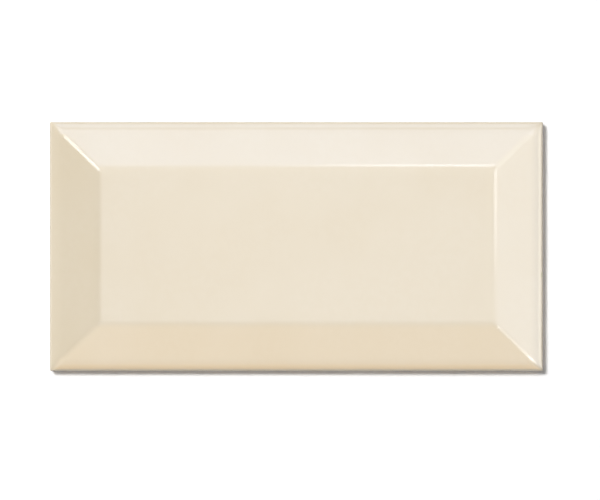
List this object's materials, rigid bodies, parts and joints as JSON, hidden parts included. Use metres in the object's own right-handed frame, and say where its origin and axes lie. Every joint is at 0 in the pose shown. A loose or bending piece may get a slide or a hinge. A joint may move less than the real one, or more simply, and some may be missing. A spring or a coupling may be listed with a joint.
{
  "type": "bevelled subway wall tile",
  "caption": "Rectangular glazed ceramic wall tile with a flat centre, four bevels, a soft rounded rim and a shallow waffle key in its back.",
  "frame": {"origin": "centre of the back, on the plane that the back's ribs and border rest on", "axes": "+X along the tile's length, +Y across it, +Z out of the glazed face"},
  "size_m": [0.149, 0.0752, 0.008],
  "materials": {
    "glaze": "gloss"
  },
  "bodies": {
    "root": {"tile": "glaze"}
  },
  "joints": []
}
